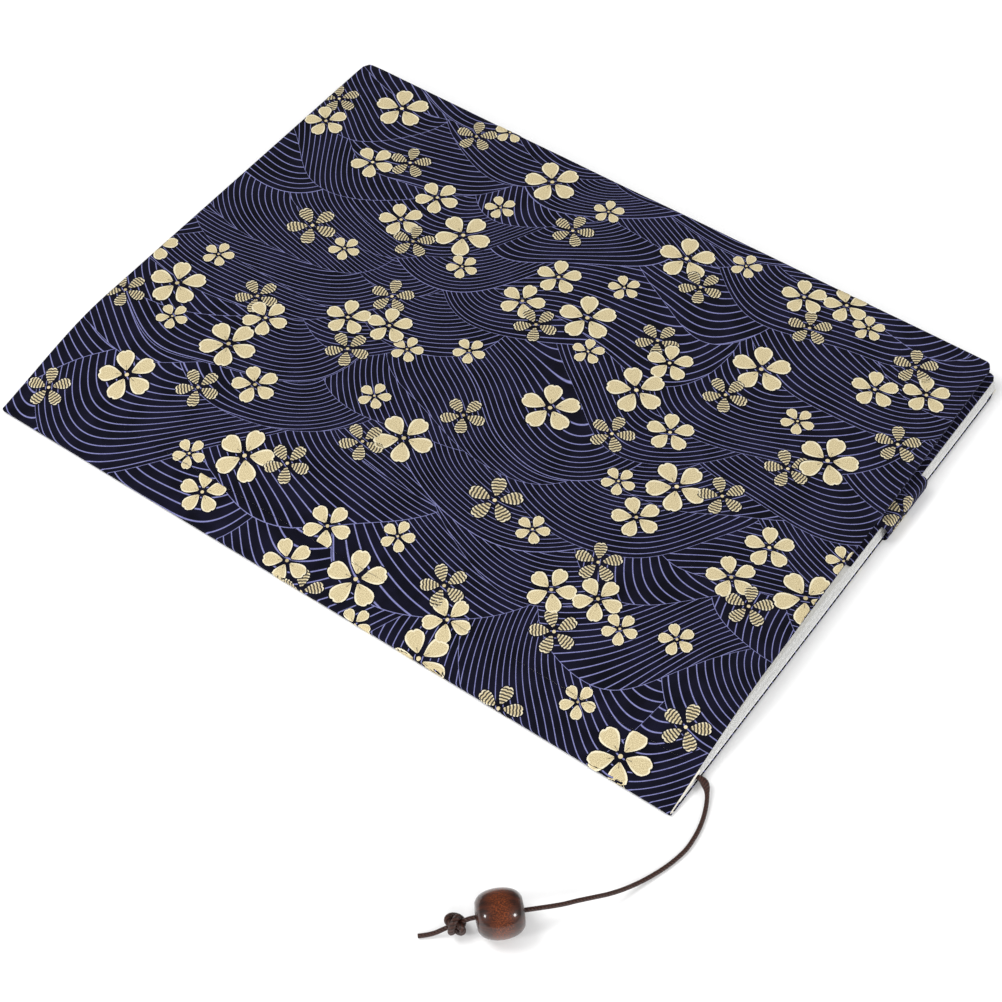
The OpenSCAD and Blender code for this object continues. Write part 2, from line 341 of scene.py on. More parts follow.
# %% Mottling group
mottling, given, result = new_group("mottling", ["Soft", "Fine"], Size=5.0)
for title, spots_per_size, detail, roughness in (("Soft", 1.0, 3.0, 0.55), ("Fine", 12.0, 2.0, 0.6)):
    noise = add(mottling, "TexNoise", noise_dimensions="3D", Vector=given["Position"],
                Scale=spots_per_size / given["Size"], Detail=detail, Roughness=roughness)
    feed(result[title], Wire(noise, "Fac"))
print("mottling has", len(mottling.nodes), "nodes")

# %% Wave line group
STEP_X, STEP_Y, REACH = 17.0, 44.0, 36.0      # spacing of the fans and their radius, in mm
GREY = (0.5, 0.5, 0.5)                        # the middle of a random colour


def scatter(colour, most_x, most_y):
    """A random colour as an offset to either side, in mm."""
    return colour.vector("SUBTRACT", GREY).vector("MULTIPLY", (most_x, most_y, 0.0))


waves, given, result = new_group("wave_lines", ["Line"], Pitch=1.9, Width=0.26)
drift = add(waves, "TexNoise", noise_dimensions="2D", Vector=given["Position"], Scale=0.011, Detail=1.0)
spot = given["Position"].vector("ADD", scatter(Wire(drift, "Color"), 46.0, 46.0))
spot_x, spot_y, _ = split(spot)
front_column = ((spot_x + REACH) / STEP_X).then("FLOOR")
inside_so_far, hub_so_far = -5.0, (0.0, 0.0, 0.0)
for column_back in (4.0, 3.0, 2.0, 1.0, 0.0):
    column = front_column - (column_back - 1.0)
    stagger = column.then("PINGPONG", 1.0) * 0.5
    row_here = (spot_y / STEP_Y - stagger).then("FLOOR")
    for row_step in (0.0, 1.0):
        row = row_here + row_step
        chance = add(waves, "TexWhiteNoise", noise_dimensions="2D", Vector=join(column, row))
        dice = split(Wire(chance, "Color"))
        hub = join(column * STEP_X + dice[0] * 9.0, dice[1] * 14.0 + (row + stagger) * STEP_Y)
        inside = dice[2] * 10.0 + (REACH - 5.0) - spot.vector("DISTANCE", hub)
        covers = inside.then("GREATER_THAN", 0.0)
        # some fans draw their arcs about another hub, so that families run into each other
        turned = Wire(chance, "Value").then("GREATER_THAN", 0.45)
        push = scatter(Wire(chance, "Color"), 70.0, 90.0).vector("MULTIPLY", join(turned, turned))
        inside_so_far = mix(covers, inside_so_far, inside, "FLOAT")
        hub_so_far = mix(covers, hub_so_far, hub.vector("ADD", push), "VECTOR")
ripple = spot.vector("DISTANCE", hub_so_far).then("PINGPONG", given["Pitch"] * 0.5)
half_width = given["Width"] * 0.5
arc, border = (1.0 - ramp(gap - half_width, -0.05, 0.08) for gap in (ripple, inside_so_far))
feed(result["Line"], arc.then("MAXIMUM", border))
print("wave lines have", len(waves.nodes), "nodes")

# %% [markdown]
# ## Finishes of the cloth
# The cover is dark navy cotton with periwinkle wave lines and gold-beige blossoms. The blossoms are
# real petals laid a hair above the cloth, because their outlines must stay sharp from close by, while
# the lines and the weave stay in the shader. Three finishes share the weave: the ground, the solid
# gold, and the hatched gold, which is the same gold broken into stripes. Every finish starts the
# same way, from the piece's own UV map and a mottling of its own size.

# %% Finish
class Finish:
    """A material with its place on the piece and, where a size is given, its soft and fine mottling."""

    def __init__(self, name, mottle=None, on_piece=True, **shader):
        self.material = bpy.data.materials.new(name)
        self.material.use_nodes = True
        self.tree = self.material.node_tree
        self.set(**shader)
        self.at = self.mapped("cloth") if on_piece else Wire(add(self.tree, "TexCoord"), "Object")
        if mottle:
            uneven = place(self.tree, mottling, Position=self.at, Size=mottle)
            self.soft, self.fine = uneven["Soft"], uneven["Fine"]

    def mapped(self, title):
        return Wire(add(self.tree, "UVMap", uv_map=title), "UV")

    def threads(self, pitch):
        return place(self.tree, weave, Position=self.at, Pitch=pitch)["Height"]

    def strands(self, lean, count):
        """Ridges that slant round a tube, and lean by a share of a turn per millimetre."""
        around, along, _ = split(self.at)
        return abs(((around + along * lean) * (count * math.pi)).then("SINE"))

    def set(self, **values):
        for key, value in values.items():
            feed(self.tree.nodes["Principled BSDF"].inputs[key.replace("_", " ")], value)

    def relief(self, height, strength, depth):
        """Bumps of a depth in millimetres."""
        bump = add(self.tree, "Bump", Strength=strength, Distance=depth * MM, Height=height)
        self.set(Normal=Wire(bump, "Normal"))


# %% Printed cloth finishes
def printed_ground(name, lines):
    cloth = Finish(name, 9.0, Roughness=0.85, Sheen_Weight=0.02, Sheen_Roughness=0.5, Specular_IOR_Level=0.12)
    threads = cloth.threads(0.36)
    ground = mix(ramp(cloth.soft, 0.3, 0.75), rgb(8, 8, 19), rgb(19, 18, 37))
    if lines:
        line = place(cloth.tree, waves, Position=cloth.at, Pitch=1.85, Width=0.18)["Line"]
        ground = mix(line * 0.88, ground, mix(cloth.fine, rgb(98, 99, 160), rgb(162, 164, 212)))
    # painted shade: where the weave is low, between the threads, the colour is darkened towards near-black navy
    cloth.set(Base_Color=mix(ramp(threads, 0.0, 1.0, 0.25, 0.0), ground, rgb(5, 5, 12)))
    cloth.relief(threads + cloth.fine, 0.35, 0.12)
    return cloth.material


def gold_print(name, hatched):
    print_on = Finish(name, 3.0, Roughness=0.5, Metallic=0.15, Specular_IOR_Level=0.5)
    aside, out, _ = split(print_on.mapped("petal"))
    gold = mix(ramp(print_on.fine, 0.3, 0.7), rgb(176, 160, 120), rgb(226, 211, 170))
    rim = ramp(abs(aside), 0.72, 0.9).then("MAXIMUM", ramp(out, 0.9, 0.96))
    gold = mix(rim * 0.75, gold, rgb(242, 234, 206))
    dark = ramp(abs(aside), 0.05, 0.14, 0.8, 0.0) * ramp(out, 0.2, 0.27, 1.0, 0.0)
    if hatched:
        stripe = (aside * 0.03 + out).then("PINGPONG", 0.085)
        dark = dark.then("MAXIMUM", ramp(stripe, 0.036, 0.05, 1.0, 0.0))
    print_on.set(Base_Color=mix(dark * 0.92, gold, rgb(22, 20, 34)),
                 Roughness=ramp(print_on.fine, 0.2, 0.8, 0.42, 0.62))
    print_on.relief(print_on.threads(0.36) + print_on.fine, 0.4, 0.12)
    return print_on.material


CLOTH_FINISHES = [printed_ground("navy_print", True), printed_ground("navy_plain", False),
                  gold_print("gold_solid", False), gold_print("gold_hatched", True)]
LINES, PLAIN, GOLD, HATCHED = range(4)       # their numbers on a piece of cloth
print("cloth finishes", [m.name for m in CLOTH_FINISHES])

# %% [markdown]
# ## Finishes inside the cover
# The lining is plain unbleached cotton, the booklet's cover is smooth white card, and the pages are
# off-white paper with the ruled rows and columns of a log. Paper edges show fine grey strata, painted darker than the
# faces, which is painted shade.

# %% Lining and card
lining_cotton = Finish("lining_cotton", 14.0, Roughness=0.88, Sheen_Weight=0.1)
threads = lining_cotton.threads(0.42)
base = mix(ramp(lining_cotton.soft, 0.3, 0.7), rgb(222, 216, 202), rgb(236, 231, 219))
# painted shade: the lining is darkened to a grey beige where the weave is low, between the threads
lining_cotton.set(Base_Color=mix(ramp(threads, 0.0, 0.9, 0.3, 0.0), base, rgb(170, 162, 146)))
lining_cotton.relief(threads, 0.4, 0.12)

white_card = Finish("white_card", 2.5)
white_card.set(Base_Color=mix(ramp(white_card.fine, 0.2, 0.8), rgb(236, 236, 234), rgb(247, 247, 246)),
               Roughness=ramp(white_card.soft, 0.2, 0.8, 0.42, 0.6))
white_card.relief(white_card.fine, 0.12, 0.05)


# %% Ruled log pages
def rule(wire, pitch, width):
    """A line of that width every pitch millimetres."""
    return ramp(wire.then("PINGPONG", pitch / 2), width * 0.35, width * 0.75, 1.0, 0.0)


def within(wire, start, end):
    """1 between two places, in mm."""
    return ramp(wire, start, start + 0.2) * ramp(wire, end, end + 0.2, 1.0, 0.0)


log_page = Finish("log_page", 6.0, Roughness=0.75)
across, up, _ = split(log_page.at)
paper = mix(ramp(log_page.fine, 0.2, 0.8), rgb(208, 207, 203), rgb(222, 221, 217))
ruled = within(across, 17.2, 157.6) * within(up, 13.8, 196.1)
header = ruled * ramp(up, 181.9, 182.1)
lines = rule(up, 7.0, 0.22).then("MAXIMUM", rule(across, 17.5, 0.3)) * ruled
page = mix(header * 0.6, paper, rgb(158, 178, 194))
log_page.set(Base_Color=mix(lines * 0.85, page, rgb(84, 108, 140)))
log_page.relief(log_page.fine, 0.1, 0.05)

page_edge = Finish("page_edge", 4.0, Roughness=0.8)
# painted shade: the page edges are painted a mottled grey, darker than the paper's faces
page_edge.set(Base_Color=mix(ramp(page_edge.fine, 0.3, 0.7), rgb(176, 177, 178), rgb(222, 222, 221)))
PAPER = [log_page.material, page_edge.material]
print("inside finishes ready")

# %% [markdown]
# ## Finishes of the small pieces
# The cord is dark brown waxed twist: slanting strands drawn along the tube, with a low gloss where the
# wax is thick. The bead is stained wood under clear lacquer, so its grain lies below a coat that
# gives two crisp highlights. The staples are plated steel wire, and the thread is matt navy.

# %% Cord, bead, staple and thread finishes
waxed_cord = Finish("waxed_cord", 1.5, Specular_IOR_Level=0.45)
strand = waxed_cord.strands(0.42, 3)
# painted shade: the grooves between the strands are painted near-black, the ridges brown
brown = mix(ramp(strand, 0.0, 0.7), rgb(16, 9, 8), rgb(66, 40, 32))
waxed_cord.set(Base_Color=mix(ramp(waxed_cord.fine, 0.35, 0.75, 0.0, 0.5), brown, rgb(34, 20, 18)),
               Roughness=ramp(waxed_cord.soft, 0.3, 0.7, 0.36, 0.6))
waxed_cord.relief(strand, 0.8, 0.15)

BEAD_WAIST = 20.0     # where the bead's middle lies on its own UV map, in mm
bead_wood = Finish("bead_wood", Coat_Weight=0.7, Coat_Roughness=0.12, Specular_IOR_Level=0.35)


def wood_noise(per_mm, **settings):
    at = bead_wood.at.vector("MULTIPLY", per_mm)
    return Wire(add(bead_wood.tree, "TexNoise", noise_dimensions="3D", Scale=1.0, Vector=at, **settings), "Fac")


grain = wood_noise((0.9, 0.3, 1.0), Detail=3.0, Roughness=0.6, Distortion=0.4)
flecks = wood_noise((3.6, 2.4, 1.0), Detail=2.0)
stain = mix(ramp(grain, 0.3, 0.7), rgb(28, 12, 8), rgb(66, 28, 12))
# painted highlight: an amber speckled band round the bead's middle stands for the shine of the lacquered wood
waist = ramp(abs(split(bead_wood.at)[1] - BEAD_WAIST), 0.6, 4.0, 1.0, 0.0)
painted_waist_highlight = waist * ramp(flecks, 0.42, 0.66, 0.12, 1.0)
bead_wood.set(Base_Color=mix(painted_waist_highlight * 0.8, stain, rgb(132, 60, 16)), Roughness=ramp(flecks, 0.3, 0.7, 0.35, 0.55))
bead_wood.relief(flecks, 0.1, 0.1)

plated_wire = Finish("plated_wire", 1.0, Metallic=1.0)
plated_wire.set(Base_Color=mix(plated_wire.fine, rgb(150, 152, 156), rgb(206, 207, 210)),
                Roughness=ramp(plated_wire.soft, 0.2, 0.8, 0.22, 0.42))

navy_thread = Finish("navy_thread", Roughness=0.7, Sheen_Weight=0.2)
strand = navy_thread.strands(1.6, 2)
# painted shade: the grooves between the thread's strands are painted darker than their ridges
navy_thread.set(Base_Color=mix(strand, rgb(14, 14, 30), rgb(48, 50, 88)))
navy_thread.relief(strand, 0.6, 0.08)
print("small finishes ready")

# %% [markdown]
# ## The closed shape
# The frame's cover rises from the fold on a straight slope. Real cloth over paper swells softly, so
# every layer above the back card is eased onto one smooth curve: the same share of its height at
# each distance from the spine. Layers keep their order, and none passes through its neighbour.

# %% Soft rise
SLOPE = math.radians(14.7)
HINGE_Z, TOP_Z = 0.7, 8.25      # height of the fold's axis and of the closed book
EASE_FROM, EASE_END = 1.15, 43  # nothing below this height or past this distance is eased


def soft_top(u):
    """Height of the outside of the front half, u millimetres from the spine fold."""
    t = min(1.0, max(0.0, (u - 0.7) / 42.3))
    return 1.35 + 6.9 * (1 - (1 - t) ** 2 * (1 + 0.9 * t))


def slope_line(u, height, most):
    """Height of a layer that lies height above the hinge line of the slope, then goes level."""
    return min(most, HINGE_Z + (u - 0.7) * math.tan(SLOPE) + height / math.cos(SLOPE))


def eased(u, z):
    if z <= EASE_FROM or u >= EASE_END:
        return z
    return EASE_FROM + (z - EASE_FROM) * (soft_top(u) - EASE_FROM) / (slope_line(u, 0.65, TOP_Z) - EASE_FROM)


def front_shift(u):
    """How far the front half is pushed towards the head: it lies slightly askew on the back half."""
    return 0.5 + 2.4 * min(1.0, max(0.0, u / COVER_W))


def arc_points(cu, cz, r, start, end, steps):
    """Points on an arc in the (u, z) plane; the angles are in degrees."""
    angles = [math.radians(start + (end - start) * k / steps) for k in range(steps + 1)]
    return [(cu + r * math.cos(a), cz + r * math.sin(a)) for a in angles]


def spaced(a, b, step):
    n = max(1, int(math.ceil(abs(b - a) / step)))
    return [a + (b - a) * k / n for k in range(n + 1)]


print("front top at 10, 15, 27 and 43 mm:", [round(soft_top(u), 2) for u in (10, 15, 27, 43)])

# %% [markdown]
# ## Paths of the sewn cover
# Seen from the tail, the printed cloth is one long strip. It starts as the flap on top of
# the leaves, goes down round the fore-edge, runs under the book, turns round the spine fold, climbs
# over the top, turns under at the fore-edge and ends as the sleeve. It is cut here into four
# parts at places where it lies on one body.

# %% Cloth paths
MEET = 13.0    # where the spine part and the front part of the cloth meet
FLAP_EDGE, SLEEVE_EDGE = 85.0, 103.0
FORE_U, FORE_Z, FORE_R = 164.125, 7.375, 0.875      # the front panel's turned fore-edge
flap_path = (arc_points(FLAP_EDGE + 0.3, 4.6, 0.3, 250, 90, 6)
             + [(u, 4.9) for u in spaced(FLAP_EDGE + 1.5, 162.4, 4)]
             + arc_points(163.7, 3.6, 1.3, 90, 0, 7) + [(165.0, z) for z in (2.9, 2.2)]
             + arc_points(163.7, 1.3, 1.3, 0, -90, 7))
back_path = ([(u, 0.0) for u in spaced(163.7, 3, 4)] + [(1.8, 0.0), (1.2, 0.0)]
             + arc_points(0.7, 0.7, 0.7, 270, 112, 9)
             + [(u, soft_top(u)) for u in (0.9, 1.5, 2.4, 3.6, 5.2, 7, 9, 11, MEET)])
front_path = ([(u, soft_top(u)) for u in spaced(MEET, 45, 1.6)] + [(u, TOP_Z) for u in spaced(47.5, 162.5, 2.6)]
              + arc_points(FORE_U, FORE_Z, FORE_R, 90, 0, 7))
sleeve_path = (arc_points(FORE_U, FORE_Z, FORE_R, 0, -90, 7)
               + [(u, 6.5) for u in spaced(162.5, SLEEVE_EDGE + 1, 4)]
               + arc_points(SLEEVE_EDGE + 0.3, 6.8, 0.3, -90, -250, 6))


class ClothPath:
    """A path in (u, z) with its length and its outward direction at each point."""

    def __init__(self, points, shift=None):
        self.p = [np.array(points[0], float)]
        for q in points[1:]:
            if np.linalg.norm(np.array(q) - self.p[-1]) > 1e-4:
                self.p.append(np.array(q, float))
        self.s = [0.0]
        for a, b in zip(self.p, self.p[1:]):
            self.s.append(self.s[-1] + float(np.linalg.norm(b - a)))
        self.length, self.first, self.shift = self.s[-1], 0.0, shift
        self.n = []
        for i in range(len(self.p)):
            t = self.p[min(i + 1, len(self.p) - 1)] - self.p[max(i - 1, 0)]
            t /= np.linalg.norm(t)
            self.n.append(np.array((-t[1], t[0])))

    def at(self, s):
        """Point and outward direction s millimetres along the path."""
        s = min(self.length, max(0.0, s))
        i = min(int(np.searchsorted(self.s, s, side="right")) - 1, len(self.s) - 2)
        f = (s - self.s[i]) / (self.s[i + 1] - self.s[i])
        n = self.n[i] * (1 - f) + self.n[i + 1] * f
        return self.p[i] * (1 - f) + self.p[i + 1] * f, n / np.linalg.norm(n)

    def clipped(self, s0, s1):
        """The stretch of this path between two lengths."""
        return ClothPath([tuple(self.at(s)[0]) for s in [s0] + [s for s in self.s if s0 < s < s1] + [s1]])


def corner_inset(u, r=3.2):
    """How far the rounded corners at the fore-edge pull the tail and head edges in."""
    over = u - (COVER_W - r)
    return 0.0 if over <= 0 else r - math.sqrt(max(0.0, r * r - min(r, over) ** 2))


# the turned hem: mm of cloth from the edge, inset from the edge, depth below the outside
HEM = [(-0.95, 0.5, 0.57), (-0.6, 0.16, 0.52), (-0.3, 0.0, 0.3), (0.0, 0.09, 0.08), (0.35, 0.38, 0.0)]


def hem_at(q):
    """(inset, depth) q millimetres of cloth from the tail edge."""
    if q >= HEM[-1][0]:
        return q + 0.03, 0.0
    return tuple(float(np.interp(q, [row[0] for row in HEM], [row[k] for row in HEM])) for k in (1, 2))


def swell(s, y):
    """The slight unevenness of soft cloth over a book, in mm."""
    return 0.09 * (1 + math.sin(0.071 * s + 0.9) * math.sin(0.052 * y + 0.4)
                   + 0.5 * math.sin(0.17 * s + 0.031 * y) * math.sin(0.023 * s - 0.13 * y + 1.1))


def on_cloth(path, s, q, lift=0.0, soft=0.0):
    """Frame position of the printed side, s mm along a path and q mm up from the tail edge."""
    (u, z), n = path.at(s)
    from_tail = q <= COVER_H / 2
    inset, depth = hem_at(q if from_tail else COVER_H - q)
    inset += corner_inset(u) * max(0.0, 1 - max(0.0, inset) / 14)
    y = BACK_TAIL + path.shift(u, z) + (inset if from_tail else COVER_H - inset)
    rise = lift - depth + (soft * swell(s, q) * min(1.0, inset / 6) if soft else 0.0)
    room = 0.22 * max(0.0, -n[1])         # cloth that faces down stands this much higher, to leave room for the print
    return (SPINE_X + u + n[0] * rise, y, max(0.0, z + room + n[1] * rise))


def spine_shift(u, z):
    """No shift on the underside, the front's shift on top, and a soft change between them at the fold."""
    if u > 1.5 and z < 0.5:
        return 0.0
    return 0.5 * smooth_step(0, 1.4, z) if u < 0.9 else front_shift(u)


flap = ClothPath(flap_path, lambda u, z: 1.15 * smooth_step(0.5, 4.5, z))   # pushed in by the front cover
back_cover = ClothPath(back_path, spine_shift)
front, sleeve = (ClothPath(points, lambda u, z: front_shift(u)) for points in (front_path, sleeve_path))
back_cover.first = -back_cover.length + MEET + 0.6      # places on the printed cloth, in mm from the spine fold
flap.first = back_cover.first - flap.length
front.first = back_cover.first + back_cover.length
sleeve.first = front.first + front.length
print("cloth lengths in mm:", [round(p.length, 1) for p in (flap, back_cover, front, sleeve)])

# %% [markdown]
# ## Blossoms
# The print scatters five-petalled blossoms in loose groups of a large one with smaller ones round it,
# and the groups repeat down the cloth. Each petal is a small fan of quads with a notched tip.
# It is laid on the cloth's own path, so it follows every fold. A slightly bigger dark petal lies under
# it, which gives the fine dark outline. Neighbouring blossoms lie at slightly different heights,
# because faces that overlap at one height would flicker.

# %% Blossom groups
# kinds: L large, M medium, S small, H hatched, B hatched and large; (kind, x, y) on a 160 by 210 layout
RADIUS = {"L": 8.3, "M": 6.6, "S": 4.7, "H": 6.4, "B": 7.6}
GROUPS = [
    ([("L", 0, 0), ("S", 15, -2), ("S", -10, -7), ("M", 8, 15), ("M", -5, 18), ("H", -10, 10)],
     [(10, 98), (112, 98), (118, 144), (58, 197), (66, 3)]),
    ([("M", 0, 0), ("L", 14, -3), ("S", 7, 10), ("H", 18, -14)], [(9, 147), (63, 50)]),
    ([("M", 0, 0), ("M", 4, -11), ("S", 0, -20), ("H", -9, -7), ("H", 13, -5)],
     [(75, 151), (33, 55), (152, 54)]),
    ([("L", 0, 0), ("M", 13, -2), ("M", -7, -15), ("H", -16, -3), ("H", 18, 5)], [(49, 171), (98, 73)]),
    ([("B", 0, 0), ("S", -2, -13)], [(47, 82), (97, 181)]),
]
SINGLES = {
    "L": [(26, 187), (80, 88), (150, 190), (150, 136), (146, 88), (123, 50), (106, 20), (6, 17), (50, 113), (1, 72)],
    "M": [(13, 72), (127, 183), (133, 205), (134, 22), (140, 10)],
    "S": [(57, 128), (84, 117), (149, 116), (153, 73), (113, 33), (12, 33), (38, 22), (82, 2), (160, 158)],
    "H": [(12, 203), (143, 208), (133, 174), (153, 165), (137, 120), (43, 121), (65, 105), (20, 78), (139, 79),
          (110, 53), (98, 27), (147, 17), (121, 8), (20, 8)],
}
STRETCH = 1.03       # the layout's units in mm of cloth
layout = [(k, x + dx, y + dy) for members, places in GROUPS for x, y in places for k, dx, dy in members]
layout += [(k, x, y) for k, places in SINGLES.items() for x, y in places]
blossoms = []
for kind, x, y in layout:
    if all(math.hypot(x - a, y - b) > 0.62 * (RADIUS[kind] + RADIUS[k]) for k, a, b in blossoms):
        blossoms.append((kind, x, y))
print(len(blossoms), "blossoms in one repeat")

# %% Petals
HALF_WIDTHS = [0.03, 0.13, 0.215, 0.275, 0.308, 0.29, 0.19]      # from root to tip, in blossom radii
ROOT, OUTLINE = 0.19, 0.035      # where petals start, and how much bigger the dark ones are


def petal_rows(narrow, spread):
    """One petal as rows of (angle, radius, place across, place out), with a notch at its tip."""
    rows = []
    for i, half in enumerate(HALF_WIDTHS):
        t = i / (len(HALF_WIDTHS) - 1)
        row = []
        for c in (j / 3 - 1 for j in range(7)):
            tip = 1 - 0.07 * c * c - 0.055 * math.exp(-(c / 0.25) ** 2)
            out = (ROOT - spread) + ((1 + spread) * tip - ROOT + spread) * t
            aside = c * (half * narrow + spread)
            row.append((math.atan2(aside, out), math.hypot(aside, out), c, t))
        rows.append(row)
    return rows


def lay_petals(sheet, kind, turn, outline_lift, petal_lift, lay, flip):
    """Five petals over five dark ones; lay(across, along, lift) gives a point and its place on the cloth."""
    hatched = kind in "HB"
    for spread, lift, slot in ((OUTLINE, outline_lift, PLAIN), (0.0, petal_lift, HATCHED if hatched else GOLD)):
        rows = petal_rows(0.86 if hatched else 1.0, spread)
        for k in range(5):
            middle = turn + k * 2 * math.pi / 5
            laid = [[lay(RADIUS[kind] * r * math.cos(middle + a), RADIUS[kind] * r * math.sin(middle + a), lift)
                     for a, r, c, t in row] for row in rows]
            sheet.grid([[point for point, uv in row] for row in laid], [[uv for point, uv in row] for row in laid],
                       slot, [[(c, t) for a, r, c, t in row] for row in rows], flip=flip)


def add_blossom(sheet, path, kind, s0, q0, turn, soft, level):
    def lay(ds, dq, lift):
        s = min(path.length - 0.02, max(0.02, s0 + ds))
        q = min(COVER_H + 0.9, max(-0.9, q0 + dq))
        return on_cloth(path, s, q, lift + level, soft), (path.first + s, q)

    lay_petals(sheet, kind, turn, 0.04, 0.08, lay, flip=True)
    eye_radii = (0.0, 0.075 * RADIUS[kind])
    rings = [[lay(r * math.cos(a), r * math.sin(a), 0.09)[0] for a in (2 * math.pi * k / 8 for k in range(9))]
             for r in eye_radii]
    sheet.grid(rings, [[(path.first + s0, q0)] * 9] * 2, GOLD, [[(0.5, 0.5)] * 9] * 2)


def add_print(sheet, path, offsets, soft):
    """Lays the blossoms on one part of the cloth; offsets says where their layout starts, in mm."""
    count = 0
    for offset in offsets:
        for i, (kind, x, y) in enumerate(blossoms):
            along, out = y * STRETCH / COVER_H, min(1.0, max(0.0, x / COVER_W))
            s = x * STRETCH + offset - path.first + (1.0 - along) * out
            q = y * STRETCH - (0.5 + 1.4 * along) * out
            if -4 < s < path.length + 4 and -4 < q < COVER_H + 4:
                turn, level = 0.4 + 1.9 * (i % 7) + 0.3 * (i % 3), 0.02 * (i % 5) + 0.005 * (i // 5 % 4)
                add_blossom(sheet, path, kind, s, q, turn, soft, level)
                count += 1
    return count


print("petals have", len(HALF_WIDTHS) - 1, "steps")

# %% [markdown]
# ## The printed cloth
# Each part is an open sheet whose tail and head edges roll under, as a turned hem does.

# %% Printed cloth parts
def bend_at_fold(piece):
    """Bakes a piece's placement into its mesh; it does not bend the piece."""
    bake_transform(piece)


def bend_at_crease(piece):
    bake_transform(piece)


def q_rows(step):
    """Places across the cloth from tail to head, closer together at the hems."""
    fine = [-0.95, -0.75, -0.6, -0.45, -0.3, -0.15, 0.0, 0.18, 0.35, 0.8, 1.6, 3, 5, 8]
    return fine + spaced(12, COVER_H - 12, step) + [COVER_H - q for q in reversed(fine)]


def cloth_part(name, path, step, soft, offsets, *nodes):
    sheet = Sheet()
    rows = q_rows(step)
    sheet.grid([[on_cloth(path, s, q, 0.0, soft) for q in rows] for s in path.s],
               [[(path.first + s, q) for q in rows] for s in path.s], LINES)
    count = add_print(sheet, path, offsets, soft)
    print(name, "has", count, "blossoms and", len(sheet.faces), "faces")
    return sheet.piece(name, CLOTH_FINISHES, "printed_cloth", *nodes)


def hold(piece, part):
    """Bakes a piece of the back or front in place, and attaches a piece of the flap or sleeve to the body it lies on.
    """
    if part == "back":
        bend_at_fold(piece)
    elif part == "front":
        bend_at_crease(piece)
    else:
        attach(piece, "back_half" if part == "flap" else "front_cover")


printed = cloth_part("printed_flap", flap, 8, 0.0, (-340, -170), "flap_cloth")
hold(printed, "flap")
printed = cloth_part("printed_back", back_cover, 8, 0.0, (-170, 0), "back_cloth", "spine_cloth")
hold(printed, "back")
printed = cloth_part("printed_front", front, 3, 1.0, (0,), "front_cloth")
hold(printed, "front")
printed = cloth_part("printed_sleeve", sleeve, 8, 0.0, (170,), "sleeve_cloth")
hold(printed, "sleeve")

# %% [markdown]
# ## Lining, card and leaves
# Everything inside the printed cloth is a closed thin layer that follows a path. One helper makes
# them all: it takes the outer path, two depths below it, and the tail and head edges, and rounds
# the edges a little so that they catch the light.

# %% Layer helper
def add_layer(sheet, path, d0, d1, tail, high, shifted=False, cols=7, rim_slot=0, corner=None):
    """A closed layer between depths d0 and d1 inside a path, from tail mm above the back half's tail edge.

    shifted moves it along with the front half. corner rounds its fore-edge corners, that many mm further in.
    """
    middle_depth, soft_rim = (d0 + d1) / 2, min(0.12, (d1 - d0) * 0.4)
    across = [0.0] + [k / (cols - 1) for k in range(cols)] + [1.0]
    nudge = [0.0, soft_rim] + [0.0] * (cols - 2) + [-soft_rim, 0.0]
    layers = {d0: ([], []), d1: ([], [])}
    for s in path.s:
        (u, z), n = path.at(s)
        inset = 0.0 if corner is None else corner_inset(u + corner)
        y0 = BACK_TAIL + tail + (front_shift(u) if shifted else 0.0) + inset
        ys = [y0 + (high - 2 * inset) * a + aside for a, aside in zip(across, nudge)]
        for face_depth, (points, uvs) in layers.items():
            depths = [middle_depth] + [face_depth] * cols + [middle_depth]
            points.append([(SPINE_X + u - n[0] * d, y, max(0.0, z - n[1] * d)) for y, d in zip(ys, depths)])
            uvs.append([(u, y - BACK_TAIL) for y in ys])
    for face_depth, (points, uvs) in layers.items():
        for some, slot in ((slice(None, 2), rim_slot), (slice(1, -1), 0), (slice(-2, None), rim_slot)):
            sheet.grid([row[some] for row in points], [row[some] for row in uvs], slot, flip=face_depth == d0)
    (top, top_uvs), (bottom, bottom_uvs) = layers.values()
    for end, flip in ((0, True), (-1, False)):
        sheet.grid([top[end], bottom[end]], [top_uvs[end], bottom_uvs[end]], rim_slot, flip=flip)


# %% Linings
def lining(name, path, tail, head, shifted, corner, *nodes):
    sheet = Sheet()
    add_layer(sheet, path, 0.34, 0.58, tail, COVER_H - tail - head, shifted, corner=corner)
    return sheet.piece(name, [lining_cotton.material], "lining", *nodes)


made = lining("lining_of_flap", flap.clipped(1.4, flap.length), 1.4, 0.3, False, 0.0, "flap_lining")
hold(made, "flap")
made = lining("lining_of_back", back_cover, 0.24, 0.24, False, None, "back_lining", "spine_lining")
hold(made, "back")
made = lining("lining_of_front", front, 0.24, 0.24, True, 0.0, "front_lining")
hold(made, "front")
made = lining("lining_of_sleeve", sleeve.clipped(0, sleeve.length - 1.4), 0.22, 0.22, True, 0.0, "sleeve_lining")
hold(made, "sleeve")
print("four linings made")
